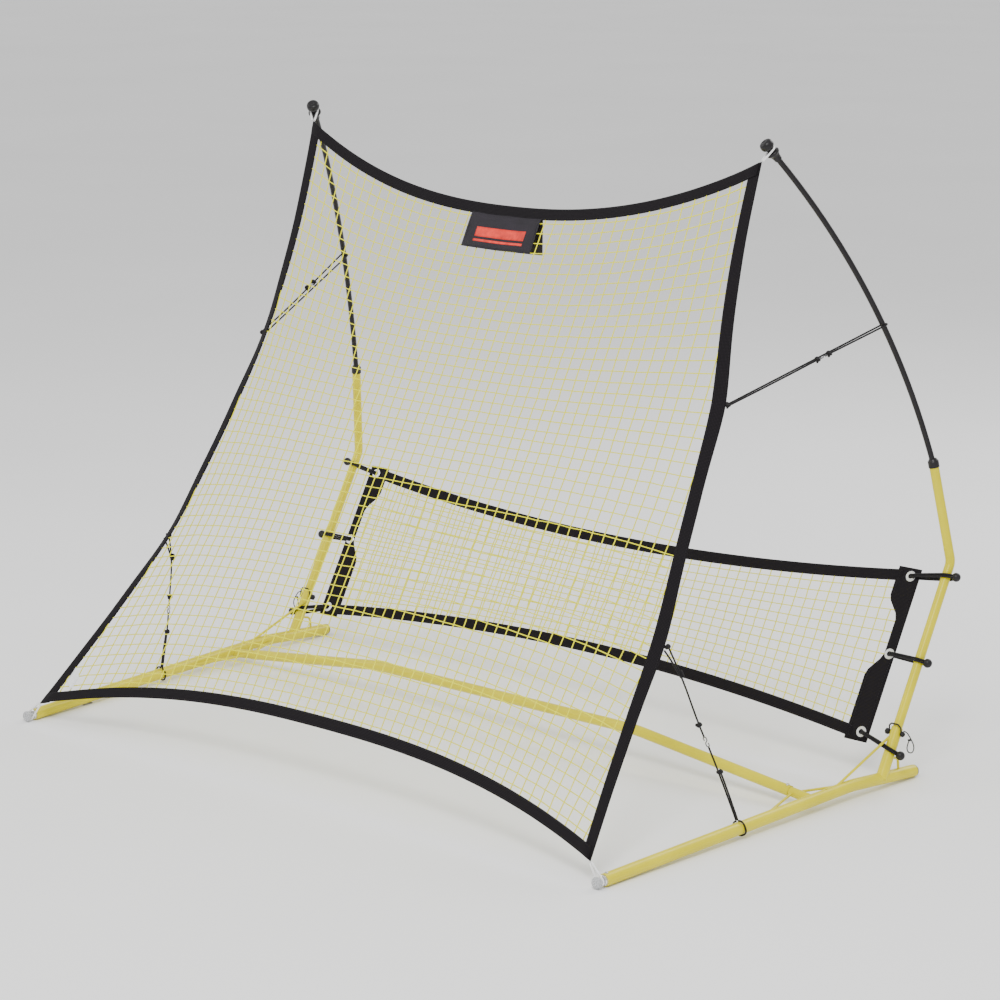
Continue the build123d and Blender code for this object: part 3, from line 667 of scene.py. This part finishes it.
# ---- Webbing ----
def strip(name, left, right, out, thick):
    """A closed strip of webbing between two edges, crowned a little, with soft selvedges."""
    profile = ((0.0, 0.30), (0.03, 0.8), (0.12, 1.0), (0.5, 1.12), (0.88, 1.0), (0.97, 0.8), (1.0, 0.3))
    ring = [(share, 0.5 * h) for share, h in profile]
    ring += [(share, -0.5 * h) for share, h in reversed(profile)]
    count = len(ring)
    verts, uvs, faces = [], [], []
    run = 0.0
    for i, (a, b, normal) in enumerate(zip(left, right, out)):
        if i:
            run += ((a + b) / 2 - (left[i - 1] + right[i - 1]) / 2).length
        width = (b - a).length
        for share, height in ring + ring[:1]:
            verts.append(a.lerp(b, share) + normal * (height * thick))
            uvs.append((share * width, run))
    for i in range(len(left) - 1):
        for k in range(count):
            p = i * (count + 1) + k
            faces.append((p, p + 1, p + count + 2, p + count + 1))
    return weld(add_mesh(name, verts, faces, MATERIALS["black_webbing"], uvs))


def strip_length(outer, inner):
    """The strip's length along its middle line, to the nearest millimetre."""
    return round(length_of([(a + b) / 2 for a, b in zip(outer, inner)]), 3)


def stitches(made, line, out, lift, pitch=0.0062, length=0.0038, radius=0.00032):
    """Short raised stitches along a line."""
    total = length_of(line)
    stops = [0.0]
    for a, b in zip(line, line[1:]):
        stops.append(stops[-1] + (b - a).length)
    place = 0.004
    span = 0
    while place + length < total - 0.004:
        while stops[span + 1] < place:
            span += 1
        share = (place - stops[span]) / (stops[span + 1] - stops[span])
        way = (line[span + 1] - line[span]).normalized()
        start = line[span].lerp(line[span + 1], share)
        normal = out[span]
        points = [
            start + normal * (lift - radius),
            start + way * length * 0.25 + normal * (lift + radius * 0.6),
            start + way * length * 0.75 + normal * (lift + radius * 0.6),
            start + way * length + normal * (lift - radius),
        ]
        made.add(*tube_shape(points, radius, 5))
        place += pitch


def add_seams(made, outer, inner, normals):
    """Two rows of stitches on a strip's front, and two on its back."""
    for across in (0.13, 0.87):
        line = [a.lerp(b, across) for a, b in zip(outer, inner)]
        for sign in (1, -1):
            stitches(made, line, [n * sign for n in normals], SEAM_LIFT)


def sewn_strip(made, name, node, outer, inner, normals, width, thick=WEBBING_THICK):
    """A finished strip with its stitches, and the width and length that it is cut to."""
    obj = finish_piece(strip(name, outer, inner, normals, thick), "black_webbing", node)
    add_seams(made, outer, inner, normals)
    return obj, (width, strip_length(outer, inner))


def sewn_thread(made, name):
    return finish_piece(weld(made.object(name, MATERIALS["stitching"])), "black_webbing")


def near_end(share):
    """1 at both ends of an edge, where strips cross, and 0 along its middle."""
    return max(0.0, 1 - min(share, 1 - share) / 0.04)


def main_webbing():
    """Four strips round the net; the top and bottom ones cross in front of the sides."""
    made = Builder()
    strips = []
    steps = 72
    for name, sign in SIDES:
        outer, inner, normals = [], [], []
        for i in range(steps + 1):
            share = i / steps
            edge = side_line(share).x
            outer.append(net_point(sign, share))
            inner.append(net_point(sign * (1 - WEBBING / edge), share))
            normals.append(net_out(sign * 0.985, share))
        strips.append(sewn_strip(
            made, f"side_webbing_{name}", f"net_webbing_{name}", outer, inner, normals, WEBBING
        ))
    steps = 64
    reach = 1 - 0.004 / TOP_CORNER.x
    for name, at_top in (("top", True), ("bottom", False)):
        outer, inner, normals = [], [], []
        for i in range(steps + 1):
            across = reach * (2 * i / steps - 1)
            share = WEBBING / net_length(across)
            normal = net_out(across, 0.004 if at_top else 0.996)
            front = normal * (WEBBING_THICK * 0.9) * near_end(i / steps)
            outer.append(net_point(across, 0.0 if at_top else 1.0) + front)
            inner.append(net_point(across, share if at_top else 1 - share) + front)
            normals.append(normal)
        strips.append(sewn_strip(
            made, f"{name}_webbing", f"net_webbing_{name}", outer, inner, normals, WEBBING
        ))
    return strips, sewn_thread(made, "webbing_stitches")


def lower_webbing():
    """Two curved strips and two end bands round the lower net."""
    made = Builder()
    strips = []
    steps = 60
    for name, at_top in (("top", True), ("bottom", False)):
        outer, inner = [], []
        for i in range(steps + 1):
            x = (LOWER_HALF - BAND_WIDTH + 0.018) * (2 * i / steps - 1)
            top, bottom = lower_edges(x)
            edge = top if at_top else bottom
            outer.append(lower_point(x, edge))
            inner.append(lower_point(x, edge + (LOWER_WEBBING if at_top else -LOWER_WEBBING)))
        strips.append(sewn_strip(
            made, f"lower_{name}_webbing", f"lower_webbing_{name}", outer, inner,
            [LOWER_OUT] * len(outer), LOWER_WEBBING
        ))
    steps = 30
    for name, sign in SIDES:
        downs = [LOWER_LENGTH * i / steps for i in range(steps + 1)]
        outer = [lower_point(sign * LOWER_HALF, down) for down in downs]
        inner = [lower_point(sign * band_inner(down), down) for down in downs]
        band, _ = sewn_strip(
            made, f"lower_band_cloth_{name}", f"lower_band_{name}", outer, inner,
            [LOWER_OUT] * len(outer), BAND_WIDTH, BAND_THICK
        )
        strips.append((band, (BAND_WIDTH, LOWER_LENGTH)))
    return strips, sewn_thread(made, "lower_stitches")


# ---- Cords ----
def drawn(x, y, z):
    """A point of the frame's drawing, given in millimetres."""
    return Vector((x / 1000, y / 1000 + AHEAD, z / 1000))


def along_rod(share):
    """A point of the bowed rod and its direction there."""
    head, tip = drawn(913, 557.5, 701), drawn(710, 218, 1411)
    middle = (head + tip) / 2 + Vector((0.0177, 0.0348, 0.0217))
    first, last = middle - head, tip - head
    normal = first.cross(last)
    centre = head + (
        normal.cross(first) * last.length_squared + last.cross(normal) * first.length_squared
    ) / (2 * normal.length_squared)
    start = head - centre
    half = start.angle(middle - centre)
    axis = start.cross(middle - centre).normalized()
    spoke = Matrix.Rotation(2 * half * share, 3, axis) @ start
    return centre + spoke, axis.cross(spoke).normalized()


RAIL_FRONT, RAIL_REAR = drawn(900, -580, 14), drawn(935.5, 232, 31)
RAIL_WAY = (RAIL_REAR - RAIL_FRONT).normalized()


def rail_point(y):
    """The point of the rail's axis at y."""
    return RAIL_FRONT.lerp(RAIL_REAR, (y - RAIL_FRONT.y) / (RAIL_REAR.y - RAIL_FRONT.y))


def round_bar(centre, toward, across, radius, before):
    """Route points of a cord that comes along 'toward', goes round a bar and comes back."""
    return [
        centre + across * radius - toward * before,
        centre + across * radius + toward * radius,
        centre - across * radius + toward * radius,
        centre - across * radius - toward * before,
    ]


def knot(name, center, way, radius, slot):
    """A tight overhand knot: a trefoil of the cord itself."""
    way = way.normalized()
    side = way.orthogonal().normalized()
    up = way.cross(side)
    points = []
    steps = 48
    for i in range(steps + 1):
        t = 2 * math.pi * i / steps
        x = math.sin(t) + 2 * math.sin(2 * t)
        y = math.cos(t) - 2 * math.cos(2 * t)
        points.append(center + (side * x + up * y) * radius * 0.7 - way * math.sin(3 * t) * radius)
    made = Builder()
    made.add(*tube_shape(points, radius, 10))
    return finish_piece(weld(made.object(name, MATERIALS[slot])), slot)


def add_cord(name, points, sign, diameter, slot, nodes, pieces=(), **facts):
    """A cord on the smooth line through its given route, on the right or mirrored."""
    line = nurbs_line([mirror_x(p, sign) for p in points], 14)
    made = Builder()
    made.add(*tube_shape(line, diameter / 2, 14))
    obj = weld(made.object(name, MATERIALS[slot]))
    finish_piece(obj, slot, *nodes)
    size = round(length_of(line), 4)
    tuple(line[0])
    list(pieces)
    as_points(line)
    return obj


def upper_tie(name, sign):
    """A loop from a wire hook round the rod and down to the net, and a strand back to the hook."""
    rod_at, rod_way = along_rod(0.435)
    kink = UPPER_KINK + OFF_EDGE
    toward = (rod_at - kink).normalized()
    across = rod_way.cross(toward).normalized()
    radius = ROD_RADIUS + TIE_CORD / 2 + GAP
    hook = kink + toward * (0.6 * (rod_at - kink).length) - across * 0.005
    loop = [
        kink + across * 0.006,
        *round_bar(rod_at, toward, across, radius, 0.014),
        hook + toward * HOOK_REACH,
    ]
    back = [
        hook - toward * HOOK_REACH,
        hook.lerp(kink, 0.55) - Vector((0, 0, 0.0025)),
        kink - across * 0.006,
    ]
    way = mirror_x(toward, sign)
    ends = [
        knot(f"upper_knot_{place}_{name}", mirror_x(at, sign), way, TIE_KNOT, "black_elastic")
        for place, at in (
            ("net", kink),
            ("back", hook - toward * (HOOK_REACH + 0.004)),
            ("front", hook + toward * (HOOK_REACH + 0.004)),
        )
    ]
    add_cord(f"upper_loop_{name}", loop, sign, TIE_CORD, "black_elastic",
             [f"upper_tie_loop_{name}"], [ends[2]], **TAUT)
    add_cord(f"upper_back_{name}", back, sign, TIE_CORD, "black_elastic",
             [f"upper_tie_back_{name}"], ends[:2], **TAUT)


def whipping(name, sign, middle, way, across):
    """Seven tight turns that bind the strands of a tie."""
    wraps = Builder()
    for k in range(7):
        at = middle + way * (k - 3) * 0.0021
        ring = [
            mirror_x(at + (across * math.cos(t) + across.cross(way) * math.sin(t)) * 0.0046, sign)
            for t in (2 * math.pi * i / 16 for i in range(17))
        ]
        wraps.add(*tube_shape(ring, 0.0011, 6))
    turns = weld(wraps.object(f"whipping_{name}", MATERIALS["black_elastic"]))
    return finish_piece(turns, "black_elastic")


def lower_tie(name, sign):
    """Two ends from the net, bound together, and a doubled end hitched round the rail."""
    below = Vector((0, 0, 0.004))
    kink = LOWER_KINK + OFF_EDGE - below
    bound, tied, split = drawn(800, -209, 355), drawn(835, -190, 245), drawn(875, -166, 143)
    rail_at = rail_point(-0.150 + AHEAD)
    hook = tied.lerp(split, 0.36)
    hook_way = (split - tied).normalized()
    toward = (rail_at - split).normalized()
    across = RAIL_WAY.cross(toward).normalized()
    radius = RAIL_RADIUS + TIE_CORD / 2 + GAP
    apart = across * (TIE_CORD / 2 + 0.0004)
    top = rail_at - toward * (radius + TIE_CORD / 2 + 0.0001)
    second = side_line(KINKS[2] + 0.012) + OFF_EDGE
    routes = {
        "net": [kink, bound, tied, hook - hook_way * HOOK_REACH],
        "strand": [
            second,
            second.lerp(bound, 0.5) + Vector((0, 0.003, -0.003)),
            bound - Vector((0, 0.0064, 0)),
        ],
        "rail": [hook + hook_way * HOOK_REACH, split + apart, top + apart],
        "return": [split - apart + toward * 0.003, split.lerp(top, 0.5) - apart * 1.5, top - apart],
        "hitch": [
            rail_at - toward * radius + across * 0.003,
            rail_at + (across - toward) * radius,
            rail_at + (across + toward) * radius,
            rail_at + (toward - across) * radius,
            rail_at - (across + toward) * radius,
            rail_at - toward * radius - across * 0.003,
        ],
    }
    whip = whipping(name, sign, bound, hook_way, across)
    way = mirror_x(hook_way, sign)
    net_knot, middle_knot, split_knot = [
        knot(f"lower_knot_{place}_{name}", mirror_x(at, sign), way, TIE_KNOT, "black_elastic")
        for place, at in (("net", kink - below), ("middle", tied), ("split", split))
    ]
    pieces = {"net": [whip, net_knot, middle_knot], "rail": [split_knot]}
    for part, points in routes.items():
        node = f"lower_tie_{part}_{name}" if part in ("net", "strand") else f"lower_tie_rail_{name}"
        add_cord(f"lower_{part}_{name}", points, sign, TIE_CORD, "black_elastic",
                 [node], pieces.get(part, ()), **TAUT)


def corner_loop(neck, corner, axis, neck_radius):
    """A white cord looped round a knob's neck, both ends at a corner of the net."""
    toward = (corner - neck).normalized()
    across = axis.cross(toward).normalized()
    radius = neck_radius + WHITE_CORD / 2 + GAP
    end = corner - toward * (WHITE_CORD / 2)
    turn = round_bar(neck, -toward, across, radius, 0.002)
    return [end + across * 0.003, *turn, end - across * 0.003]


def corner_cords(name, sign):
    """White cords from the net's corners to the rod's tip knob and the rail's front knob."""
    tip, tip_way = along_rod(1)
    for place, neck, corner, axis, neck_radius in (
        ("top", tip + tip_way * 0.024, TOP_CORNER, tip_way, TOP_NECK),
        ("bottom", RAIL_FRONT - RAIL_WAY * 0.0105, BOTTOM_CORNER, -RAIL_WAY, FRONT_NECK),
    ):
        points = corner_loop(neck, corner, axis, neck_radius)
        add_cord(f"white_{place}_{name}", points, sign, WHITE_CORD, "white_cord",
                 [f"corner_cord_{place}_{name}"], **TAUT_LIMP)


def lanyard(name, sign):
    """A thin cord that hangs from the lock pin in a teardrop loop."""
    points = [
        drawn(964, 391.7, 126.9),
        drawn(972, 391.7, 127),
        drawn(982, 392, 115),
        drawn(994, 392, 97),
        drawn(990, 391, 81),
        drawn(977, 391, 80),
        drawn(973, 391.5, 93),
        drawn(979.5, 392, 109),
    ]
    end = knot(f"lanyard_knot_{name}", mirror_x(points[-1], sign), Vector((0, 0, 1)), 0.0013,
               "lanyard_cord")
    add_cord(f"lanyard_cord_{name}", points, sign, LANYARD_CORD, "lanyard_cord",
             [f"lanyard_{name}"], [end], far_end="knot", stiffness="medium", lay="hanging")


def bungees(name, sign):
    """Doubled elastic loops from the balls, round the upright and through the grommets."""
    lift = BUNGEE_CORD / 2 + 0.0001
    for index, (hole_x, hole_down, ball_x, ball_down, post_radius) in enumerate(BUNGEES, 1):
        front = post_radius + BUNGEE_CORD / 2 + 0.0015
        line = (
            (ball_x - 0.004, 0.004),
            (POST_X + 0.009, front),
            (POST_X - 0.012, front),
            (hole_x, 0.008),
            (hole_x, -0.008),
            (POST_X - 0.012, -front),
            (POST_X + 0.009, -front),
            (ball_x - 0.004, -0.004),
        )
        slope = (ball_down - hole_down) / (ball_x - hole_x)
        for strand, rise in (("upper", -lift), ("under", lift)):
            points = [
                lower_point(x, hole_down + slope * (x - hole_x) + rise, out) for x, out in line
            ]
            add_cord(f"bungee_{index}_{strand}_{name}", points, sign, BUNGEE_CORD,
                     "black_elastic", [f"bungee_cords_{name}"], **TAUT)


# ---- Knobs ----
def top_knob(name, sign):
    """The two-flanged knob on the rod's tip."""
    tip, axis = along_rod(1)
    profile = (
        (0.00655, -0.0060), (0.0085, -0.0060), (0.0092, 0.0040), (0.0112, 0.0105),
        (0.0152, 0.0140), (0.0160, 0.0178), (0.0125, 0.0200), (0.0074, 0.0210),
        (0.0069, 0.0240), (0.0072, 0.0265), (0.0098, 0.0290), (0.0142, 0.0315),
        (0.0158, 0.0370), (0.0150, 0.0440), (0.0118, 0.0482), (0.0060, 0.0494),
        (0.0040, 0.0482), (0.0, 0.0474),
    )
    shape = rounded(profile)
    knob = lathe(f"top_knob_{name}", shape, mirror_x(tip, sign), mirror_x(axis, sign),
                 MATERIALS["black_plastic"])
    finish_piece(knob, "black_plastic", f"tip_knob_{name}")


def front_knobs():
    """The clear knobs that plug the rails' front ends."""
    profile = (
        (0.0, -0.0160), (0.0060, -0.0160), (0.0060, 0.0045), (0.0066, 0.0050), (0.0060, 0.0095),
        (0.0078, 0.0140), (0.0112, 0.0160), (0.0124, 0.0185), (0.0125, 0.0230), (0.0108, 0.0258),
        (0.0060, 0.0272), (0.0036, 0.0262), (0.0, 0.0260),
    )
    for name, sign in SIDES:
        knob = lathe(f"front_knob_{name}", rounded(profile), mirror_x(RAIL_FRONT, sign),
                     mirror_x(-RAIL_WAY, sign), MATERIALS["clear_plastic"])
        finish_piece(knob, "clear_plastic", "front_knobs")


# ---- Label and tag ----
def slab(name, spots, thick, size, material):
    """A thin closed sheet: rows of points with their normals, thickened along the normals."""
    rows, columns = len(spots), len(spots[0])
    flat = [spot for row in spots for spot in row]
    verts = [point for point, _ in flat] + [point - way * thick for point, way in flat]
    uvs = 2 * [
        (size[0] * j / (columns - 1), size[1] * i / (rows - 1))
        for i in range(rows) for j in range(columns)
    ]
    back = rows * columns
    faces = []
    for i in range(rows - 1):
        for j in range(columns - 1):
            a = i * columns + j
            face = (a, a + 1, a + columns + 1, a + columns)
            faces += [face, tuple(back + corner for corner in reversed(face))]
    rim = list(range(columns)) + [(i + 1) * columns - 1 for i in range(1, rows)]
    rim += [back - 1 - j for j in range(1, columns)] + [i * columns for i in range(rows - 2, -1, -1)]
    faces += [(a, b, b + back, a + back) for a, b in zip(rim, rim[1:])]
    return weld(add_mesh(name, verts, faces, material, uvs), 1e-6)


def label_front(x, down, lift=0.0):
    """A point on the label's front flap, and its normal: it comes out from under the webbing."""
    half = side_line(0).x
    share = down / net_length(x / half)
    out = net_out(x / half, share)
    free = ease((down - 0.022) / 0.012)
    ripple = 0.0008 * math.sin(x * 60 + down * 45) * (down / LABEL_DROP)
    return net_point(x / half, share) + out * (0.0008 + 0.0029 * free + ripple + lift), out


def label_back(x, down):
    """A point on the back flap, which hangs plumb behind the sloping net."""
    half = side_line(0).x
    held = min(down, 0.024)
    share = held / net_length(x / half)
    out = net_out(x / half, share)
    sway = 0.0015 * math.sin(x * 42) * (down / LABEL_DROP)
    point = net_point(x / half, share) - out * (0.0006 + 0.0012 * ease((down - 0.02) / 0.008))
    return point + Vector((0, sway, held - down)), Vector((0, -1, 0))


def label():
    """Two flaps of coated cloth under the top webbing; the front one has two plain red stripes."""
    flaps = []
    for name, place, bottom in (
        ("front", label_front, LABEL_DROP), ("back", label_back, LABEL_DROP - 0.004)
    ):
        rows, columns = 22, 37
        spots = [
            [place(LABEL * (j / (columns - 1) - 0.5),
                   LABEL_TUCK + (bottom - LABEL_TUCK) * i / (rows - 1)) for j in range(columns)]
            for i in range(rows)
        ]
        size = (LABEL, bottom - LABEL_TUCK)
        flap = slab(f"label_{name}", spots, LABEL_CLOTH, size, MATERIALS["label_cloth"])
        flaps.append((finish_piece(flap, "label_cloth", "label_patch"), size))
    stripes = []
    for name, top, deep in STRIPES:
        spots = [
            [label_front(STRIPE_WIDTH * (j / 26 - 0.5), top + deep * i / 4, 0.0003) for j in range(27)]
            for i in range(5)
        ]
        stripe = slab(f"label_stripe_{name}", spots, 0.0002, (STRIPE_WIDTH, deep),
                      MATERIALS["label_print"])
        stripes.append(finish_piece(stripe, "label_cloth"))
    seams = Builder()
    edge, hem = LABEL / 2 - 0.005, LABEL_DROP - 0.005
    runs = (
        [label_front(edge * (i / 10 - 1), hem) for i in range(21)],
        [label_front(-edge, 0.036 + (hem - 0.036) * i / 12) for i in range(13)],
        [label_front(edge, 0.036 + (hem - 0.036) * i / 12) for i in range(13)],
    )
    for run in runs:
        stitches(seams, [p for p, _ in run], [n for _, n in run], lift=0.0002, pitch=0.0048,
                 length=0.0031, radius=0.00034)
    thread = weld(seams.object("label_stitches", MATERIALS["stitching"]))
    finish_piece(thread, "label_cloth")
    for (flap, size), pieces in zip(flaps, ([*stripes, thread], [])):
        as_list(pieces)


def tag():
    """A small curled square of milky film, hung by one corner at the net's lower left."""
    across, down = -0.935, 0.960
    centre = net_point(across, down)
    out = net_out(across, down)
    right = (net_point(across + 0.01, down) - net_point(across - 0.01, down)).normalized()
    up = out.cross(right).normalized()
    steps = 14
    rows = []
    for i in range(steps + 1):
        a = i / steps - 0.5
        row = []
        for j in range(steps + 1):
            b = j / steps - 0.5
            curl = out * (0.004 + 0.007 * (a + 0.5) ** 2 + 0.0016 * math.sin(7 * b))
            spot = centre + right * (a - b) * TAG_SIDE * 0.62 + up * (a + b) * TAG_SIDE * 0.78 + curl
            row.append((spot, out))
        rows.append(row)
    film = slab("film_tag", rows, 0.0004, (TAG_SIDE, TAG_SIDE), MATERIALS["tag_film"])
    finish_piece(film, "tag_film", "corner_tag")


# ---- Studio ----
def studio():
    """A pale floor, three soft lights and the camera."""
    near, far = -FLOOR_REACH, FLOOR_REACH
    floor = add_mesh(
        "floor", [(near, near, 0), (far, near, 0), (far, far, 0), (near, far, 0)], [(0, 1, 2, 3)],
        floor_material(), smooth=False,
    )
    floor.location.z = -FLOOR_DROP
    world = bpy.data.worlds.new("studio")
    bpy.context.scene.world = world
    world.use_nodes = True
    sky = world.node_tree.nodes["Background"]
    sky.inputs["Color"].default_value = (1, 1, 1, 1)
    sky.inputs["Strength"].default_value = WORLD_STRENGTH
    for name, place, power, size in LIGHTS:
        data = bpy.data.lights.new(name, "AREA")
        data.energy = power
        data.size = size
        light = bpy.data.objects.new(name, data)
        light.location = place
        light.rotation_euler = (AIM - Vector(place)).to_track_quat("-Z", "Y").to_euler()
        bpy.context.scene.collection.objects.link(light)
    camera = bpy.data.objects.new("camera", bpy.data.cameras.new("camera"))
    camera.location = CAMERA_PLACE
    camera.rotation_euler = [math.radians(turn) for turn in CAMERA_TURN]
    camera.data.lens = CAMERA_LENS
    bpy.context.scene.collection.objects.link(camera)
    bpy.context.scene.camera = camera


def floor_material():
    """Matt, almost white, with very soft tone changes."""
    s = Shader("floor", 0.85)
    cloud = s.noise(s.place(), 0.7, 3)
    s.color(s.ramp(cloud, [(0.3, (0.90, 0.90, 0.90)), (0.7, (0.93, 0.93, 0.93))]))
    s.rough(cloud, 0.8, 0.9)
    return s.material


def declare_webbing(strips, extras):
    """Goes through the strips of webbing and their extra pieces; nothing is declared or changed."""
    for (obj, size), pieces in zip(strips, extras):
        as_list(pieces)


def build():
    """Every visible piece."""
    paint_cad_nodes()
    netting = main_netting()
    strips, seams = main_webbing()
    declare_webbing(strips, [[netting], [seams], [], []])
    low_netting = lower_netting()
    strips, seams = lower_webbing()
    declare_webbing(strips, [[low_netting], [seams], [], []])
    label()
    tag()
    for name, sign in SIDES:
        upper_tie(name, sign)
        lower_tie(name, sign)
        corner_cords(name, sign)
        lanyard(name, sign)
        bungees(name, sign)
        top_knob(name, sign)
    front_knobs()
    studio()


build()
